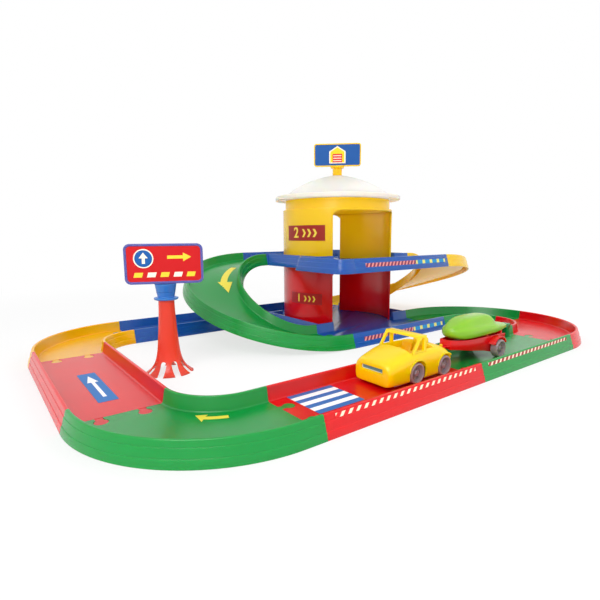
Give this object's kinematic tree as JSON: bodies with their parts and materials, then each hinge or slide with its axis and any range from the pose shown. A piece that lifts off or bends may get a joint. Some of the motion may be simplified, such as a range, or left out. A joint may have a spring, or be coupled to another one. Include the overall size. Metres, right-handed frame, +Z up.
{
  "type": "toy parking garage",
  "caption": "Toy parking garage: a loop of moulded road channels, two decks joined by half-turn ramps, a round domed tower, a road sign, and a toy car with a boat trailer.",
  "frame": {"origin": "on the floor under the middle of the whole layout's footprint", "axes": "+X along the long side, to the right seen from the front; +Y to the back; +Z up"},
  "size_m": [0.921, 0.614, 0.38],
  "materials": {
    "red": "glossy moulded plastic",
    "green": "glossy moulded plastic",
    "blue": "glossy moulded plastic",
    "yellow": "glossy moulded plastic",
    "amber": "glossy moulded plastic",
    "frosted": "frosted translucent plastic",
    "orange": "glossy moulded plastic",
    "sky": "glossy moulded plastic",
    "violet": "glossy moulded plastic",
    "lime": "glossy moulded plastic",
    "bottle": "glossy moulded plastic",
    "mauve": "satin moulded plastic",
    "steel": "drawn wire"
  },
  "bodies": {
    "layout": {"road_straight_back": "blue", "road_corner_back_left": "amber", "road_straight_left": "red", "road_corner_front_left": "green", "road_straight_front": "red", "road_straight_front_right": "green", "road_corner_right": "red", "road_corner_back_right": "green", "base_deck": "blue", "upper_deck": "blue", "end_cap_left": "blue", "end_cap_right": "blue", "ramp_green": "green", "ramp_yellow": "yellow", "lower_tower": "red", "upper_tower": "yellow", "sign_post": "orange"},
    "roof": {"roof_dome": "frosted"},
    "roof_sign": {"roof_sign_post": "yellow", "roof_sign_plate": "yellow"},
    "road_sign_head": {"sign_socket": "sky", "sign_board": "violet"},
    "car": {"car_body": "yellow", "car_chassis": "mauve", "car_seats": "yellow", "car_tow_hook": "yellow"},
    "front_wheels": {"car_front_axle": "steel", "car_front_wheel_near": "mauve", "car_front_wheel_far": "mauve"},
    "rear_wheels": {"car_rear_axle": "steel", "car_rear_wheel_near": "mauve", "car_rear_wheel_far": "mauve"},
    "trailer": {"trailer_frame": "red"},
    "trailer_wheels": {"trailer_axle": "steel", "trailer_wheel_near": "mauve", "trailer_wheel_far": "mauve"},
    "boat": {"boat_hull": "lime", "outboard_motor": "bottle"}
  },
  "joints": [
    {"name": "roof_lift", "type": "slide", "parent": "layout", "child": "roof", "axis": [0, 0, 1], "range_m": [0, 0.12]},
    {"name": "roof_sign_turn", "type": "hinge", "parent": "roof", "child": "roof_sign", "pos_m": [0.1235, 0.114, 0.3138], "axis": [0, 0, 1], "continuous": true},
    {"name": "road_sign_turn", "type": "hinge", "parent": "layout", "child": "road_sign_head", "pos_m": [-0.3005, -0.005, 0.096], "axis": [0, 0, 1], "continuous": true},
    {"name": "car_roll", "type": "slide", "parent": "layout", "child": "car", "axis": [-1, 0, 0], "range_m": [-0.06, 0.1]},
    {"name": "front_wheels_turn", "type": "hinge", "parent": "car", "child": "front_wheels", "pos_m": [-0.085, -0.24, 0.0208], "axis": [0, -1, 0], "range_deg": [-270, 450]},
    {"name": "rear_wheels_turn", "type": "hinge", "parent": "car", "child": "rear_wheels", "pos_m": [-0.029, -0.24, 0.0208], "axis": [0, -1, 0], "range_deg": [-270, 450]},
    {"name": "trailer_swing", "type": "hinge", "parent": "car", "child": "trailer", "pos_m": [0.0035, -0.24, 0.0329], "axis": [0, 0, 1], "range_deg": [-11, 2]},
    {"name": "trailer_wheels_turn", "type": "hinge", "parent": "trailer", "child": "trailer_wheels", "pos_m": [0.1115, -0.24, 0.0208], "axis": [0, -1, 0], "range_deg": [-270, 450]},
    {"name": "boat_lift", "type": "slide", "parent": "trailer", "child": "boat", "axis": [0, 0, 1], "range_m": [0, 0.08]}
  ],
  "couplings": [
    {"joint": "front_wheels_turn", "follows": "car_roll", "rad_per_m": 74.074},
    {"joint": "rear_wheels_turn", "follows": "car_roll", "rad_per_m": 74.074},
    {"joint": "trailer_wheels_turn", "follows": "car_roll", "rad_per_m": 74.074}
  ]
}
